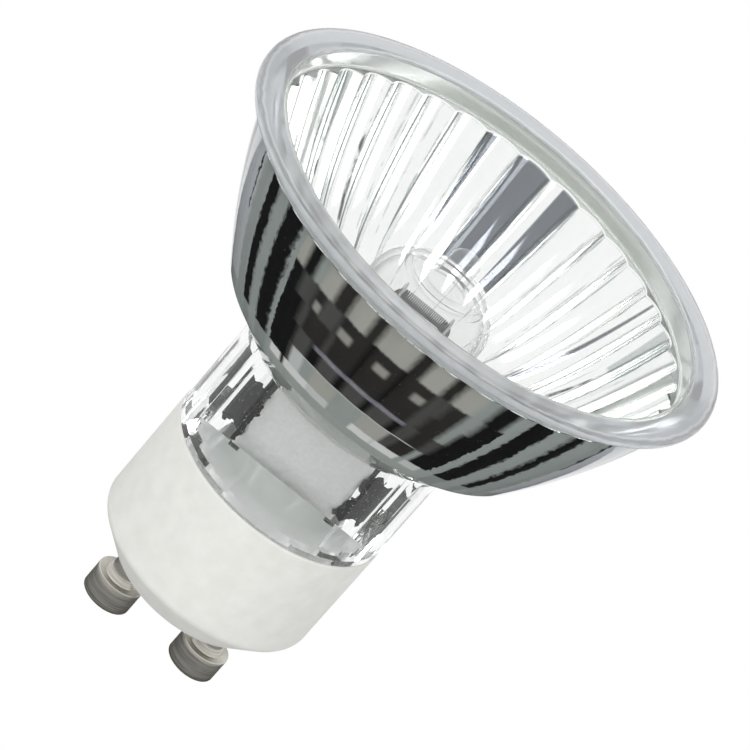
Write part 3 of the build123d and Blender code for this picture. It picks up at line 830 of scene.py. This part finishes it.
# %% Join the flanks and the front
# The long dark and light strips on the flanks are painted reflections too.
flank = strips(tree, placed, -half_turn, half_turn, flank_reflections, 0.03)
flank = over(tree, flank, paints["pale"], calc(tree, "MULTIPLY", eased(tree, height, 0.556, 0.548), 0.8))
thin = calc(tree, "MULTIPLY", between(tree, calc(tree, "ABSOLUTE", placed), 5.8, 5.88, 0.03),
            eased(tree, height, 0.83, 0.85))
flank = over(tree, flank, paints["umber"], thin)
colour = mixed(tree, between(tree, placed, -3.28, 3.2, 0.02), flank, colour)
specks = eased(tree, noise(tree, where, 9.0, 2.0), 0.74, 0.78)
tree.links.new(over(tree, colour, paints["mist"], specks), shader.inputs["Base Color"])
shader.inputs["Roughness"].default_value = 0.6
shader.inputs["Specular IOR Level"].default_value = 0.0
print("painted_back_reflections nodes", len(tree.nodes))

# %% [markdown]
# ## Which faces take which finish
# A mesh can hold several materials, and each face names one by its number. On the film the first
# rings are the bright face and the rest the back. On the glass the middle of each face is
# tested: by its height and its distance from the axis it is rim, shoulder, slot or plain glass.

# %% Give each face its finish
for material in (mirror_face, painted_back_reflections):
    mirror_film.data.materials.append(material)
sides = np.zeros((2 * len(film_t), columns), np.int32)
sides[len(film_t) - 1:-1] = 1
mirror_film.data.polygons.foreach_set("material_index", sides.ravel())
print("mirror film faces", np.bincount(sides.ravel()).tolist())


def more_finishes(piece, *tests):
    """Faces whose middles pass a test on (x, y, radius, height) take its material."""
    middles = np.zeros(len(piece.data.polygons) * 3, np.float32)
    piece.data.polygons.foreach_get("center", middles)
    x, y, z = middles.reshape(-1, 3).T / MM
    finish = np.zeros(len(x), np.int32)
    for number, chosen in enumerate(tests, 1):
        finish[chosen(x, y, np.hypot(x, y), z)] = number
    piece.data.polygons.foreach_set("material_index", finish)
    print(piece.name, "faces with each finish", np.bincount(finish).tolist())


def on_rim(x, y, r, z):
    """The seat and the rim, but not the outside of the bowl under it."""
    return (r > 21.0) & (z > seat_z - 0.01) & ~((z < bowl_head_z) & (r > seat_r + 0.1))


def on_shoulder(x, y, r, z):
    """The slopes under the neck's flats."""
    return (z > shoulder - 0.2) & (z < flat_foot) & (abs(y) > flat_y) & (r < neck_r - 0.05)


def on_slot_end(x, y, r, z):
    """The round ends of the slot."""
    return (r < 8.7) & (abs(x) > 4.9) & (z > 17.2) & (z < 23.6)


more_finishes(reflector_glass, on_rim, on_shoulder, on_slot_end)
more_finishes(cover_glass, lambda x, y, r, z: r > 21.9)

# %% [markdown]
# ## Ceramic, cement and metal
# Fired steatite is a warm white with hardly any gloss and a faint mottling. The pins are nickel
# over turned brass, so their grain runs round them: a noise squeezed along the axis gives fine
# rings. Cement is white and sandy, and the tungsten coil is dark.

# %% Make the solid finishes


def plain(name, low, high, scale, roughness, metallic=0.0, depth=0.0, stretch=(1, 1, 1)):
    """A finish between two colours, mixed and made bumpy by one noise."""
    material, tree, shader = begin(name)
    where = object_place(tree)
    value = noise(tree, where, scale, 4.0, stretch)
    tree.links.new(ramp(tree, value, [(0.3, low), (0.7, high)]), shader.inputs["Base Color"])
    shader.inputs["Roughness"].default_value = roughness
    shader.inputs["Metallic"].default_value = metallic
    if depth:
        bump(tree, shader, value, depth)
    print(name)
    return material


ceramic = plain("steatite", (0.80, 0.80, 0.76), (0.86, 0.86, 0.82), 0.6, 0.55, depth=0.01)
nickel = plain("turned_nickel", (0.36, 0.345, 0.31), (0.7, 0.675, 0.61), 1.0, 0.3, 0.9, 0.004, (0.3, 0.3, 9))
paste = plain("lamp_cement", (0.90, 0.90, 0.89), (0.97, 0.97, 0.96), 2.5, 0.9, depth=0.05)
silicone = plain("clear_silicone", (0.72, 0.75, 0.73), (0.86, 0.88, 0.86), 1.0, 0.4, depth=0.01)
molybdenum = plain("drawn_molybdenum", (0.42, 0.42, 0.43), (0.62, 0.62, 0.63), 3.0, 0.3, 1.0, 0.002)
tungsten = plain("wound_tungsten", (0.03, 0.03, 0.035), (0.07, 0.07, 0.08), 4.0, 0.5, 0.4)

# %% Dress the pieces and the hidden nodes
wear(reflector_glass, ["reflector"], "pressed_glass", pressed_glass, ground_rim, shoulder_glass, slot_shade)
wear(mirror_film, ["reflector"], "pressed_glass")
wear(cover_glass, ["front_glass"], "cover_glass", flat_glass, ground_edge)
wear(seal_bead, ["front_seal"], "silicone", silicone)
wear(ceramic_cap, ["cap_body"], "ceramic", ceramic)
wear(burner_quartz, ["burner_envelope"], "quartz", quartz)
wear(filament_coil, ["filament"], "tungsten", tungsten)
wear(cement_block, ["burner_cement"], "cement", paste)
for name, slot_name, material in (("pin", "nickel", nickel), ("support", "molybdenum", molybdenum)):
    for side in ("left", "right"):
        piece = bpy.data.objects[f"{name}_{side}"]
        wear(piece, [piece["node"]], slot_name, material)
        del piece["node"]
inner = {"cement": paste, "molybdenum": molybdenum, "nickel": nickel}
for part in frame["record"]["subparts"]:
    item = frame["nodes"][part["node"]]
    if part["material_slot"] in inner and not item.hide_render:
        item.data.materials.clear()
        item.data.materials.append(inner[part["material_slot"]])
        print("CAD node", part["node"], "gets", inner[part["material_slot"]].name)

# %% [markdown]
# ## Floor and background
# The bulb floats on plain white in the photograph. A floor far below it gives the white, and
# its shadow falls out of the frame. The floor and the world turn pure white only for rays from
# the camera and for what metal and glass mirror or let through. What lights the bulb is a
# softer world and two large lamps.

# %% Lay the floor and light the world
floor_mesh = bpy.data.meshes.new("floor")
reach, drop = 3.0, -0.16
floor_mesh.from_pydata([(-reach, -reach, drop), (reach, -reach, drop), (reach, reach, drop),
                        (-reach, reach, drop)], [], [(0, 1, 2, 3)])
floor = bpy.data.objects.new("floor", floor_mesh)
scene.collection.objects.link(floor)


def seen_directly(tree):
    """1 for camera, mirror and see-through rays, 0 for the rays that light things."""
    path = node(tree, "ShaderNodeLightPath").outputs
    return calc(tree, "MAXIMUM", calc(tree, "MAXIMUM", path["Is Camera Ray"], path["Is Glossy Ray"]),
                path["Is Transmission Ray"])


floor_white, tree, shader = begin("floor_white")
shader.inputs["Base Color"].default_value = (0.8, 0.8, 0.8, 1)
shader.inputs["Roughness"].default_value = 0.9
glow = node(tree, "ShaderNodeEmission", {"Color": (1, 1, 1, 1), "Strength": 1.0})
blend = node(tree, "ShaderNodeMixShader", {0: seen_directly(tree), 1: shader.outputs[0], 2: glow.outputs[0]})
tree.links.new(blend.outputs[0], tree.nodes["Material Output"].inputs["Surface"])
floor_mesh.materials.append(floor_white)

world = bpy.data.worlds.new("studio")
scene.world = world
world.use_nodes = True
tree = world.node_tree
strength = node(tree, "ShaderNodeMapRange",
                {"Value": seen_directly(tree), "To Min": 0.62, "To Max": 1.0}).outputs[0]
tree.links.new(strength, tree.nodes["Background"].inputs["Strength"])
tree.nodes["Background"].inputs["Color"].default_value = (1, 1, 1, 1)
print("floor at", drop, "world", world.name)

# %% [markdown]
# ## A dark flag
# White all round would leave glass and metal without any contrast. Photographers hang black
# flags beside such an object. Here one black disc lies under the bulb. It is hidden from the
# camera and from the light, so it darkens only what the pins and the bowl mirror from below.

# %% Hang the flag
flag_r, flag_z = 0.2, -0.1
flag_mesh = bpy.data.meshes.new("dark_flag")
flag_mesh.from_pydata([(flag_r * math.cos(i * math.pi / 16), flag_r * math.sin(i * math.pi / 16), flag_z)
                       for i in range(32)], [], [range(32)])
flag = bpy.data.objects.new("dark_flag", flag_mesh)
scene.collection.objects.link(flag)
flag.visible_camera = flag.visible_diffuse = flag.visible_transmission = flag.visible_shadow = False
flag_black, tree, shader = begin("flag_black")
shader.inputs["Base Color"].default_value = (0.02, 0.02, 0.02, 1)
shader.inputs["Specular IOR Level"].default_value = 0.0
flag_mesh.materials.append(flag_black)
print("flag", flag_r)

# %% [markdown]
# ## Lamps
# Two large square lamps, a strong one at the left and a weak one at the right, give soft
# shading on the ceramic. They stay out of the reflections, where they would be hard squares.
# Light goes round in the mirror many times, so the limits on bounces are raised as well.

# %% Set the lamps


def lamp(name, where, target, size, power):
    """A square area lamp that looks from one place at another."""
    data = bpy.data.lights.new(name, "AREA")
    data.size, data.energy = size, power
    item = bpy.data.objects.new(name, data)
    scene.collection.objects.link(item)
    away = np.array(where, float) - np.array(target, float)
    away /= np.linalg.norm(away)
    across = np.cross([0, 0, 1], away)
    across /= np.linalg.norm(across)
    turn = np.eye(4)
    turn[:3, 0], turn[:3, 1], turn[:3, 2], turn[:3, 3] = across, np.cross(away, across), away, where
    item.matrix_world = Matrix(turn.tolist())
    item.visible_glossy = False
    print(name, power, "watts")


lamp("key", (-0.35, -0.45, 0.5), (0, 0, 0.02), 0.35, 2.2)
lamp("fill", (0.5, -0.35, 0.25), (0, 0, 0.02), 0.35, 0.8)
scene.view_settings.view_transform = "Standard"
cycles = scene.cycles
cycles.max_bounces, cycles.glossy_bounces, cycles.transmission_bounces = 20, 12, 16
